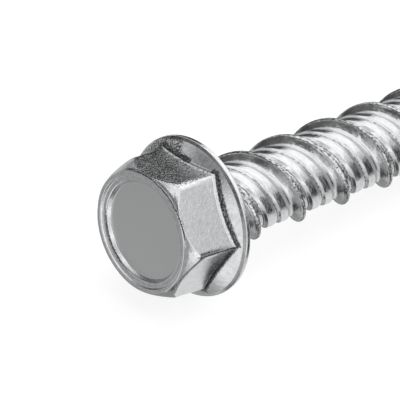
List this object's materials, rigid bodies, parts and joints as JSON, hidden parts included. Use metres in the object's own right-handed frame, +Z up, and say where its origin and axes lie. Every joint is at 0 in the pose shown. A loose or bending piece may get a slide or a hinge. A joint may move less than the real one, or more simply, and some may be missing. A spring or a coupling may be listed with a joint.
{
  "type": "concrete screw anchor",
  "caption": "One-piece steel concrete screw with a washer-faced hex head, a dished end face and a coarse two-start thread that cuts its own way into a drilled hole.",
  "frame": {"origin": "middle of the bounding box's underside, on the surface that the anchor lies on", "axes": "+X runs along the anchor from the head to the tip, +Z is up, and the screw's own axis dips 4.5 degrees below +X towards the tip"},
  "size_m": [0.0512, 0.0144, 0.0145],
  "materials": {
    "zinc_plated_steel": "bright zinc plating over carbon steel, finely mottled"
  },
  "bodies": {
    "root": {"screw_anchor": "zinc_plated_steel"}
  },
  "joints": []
}
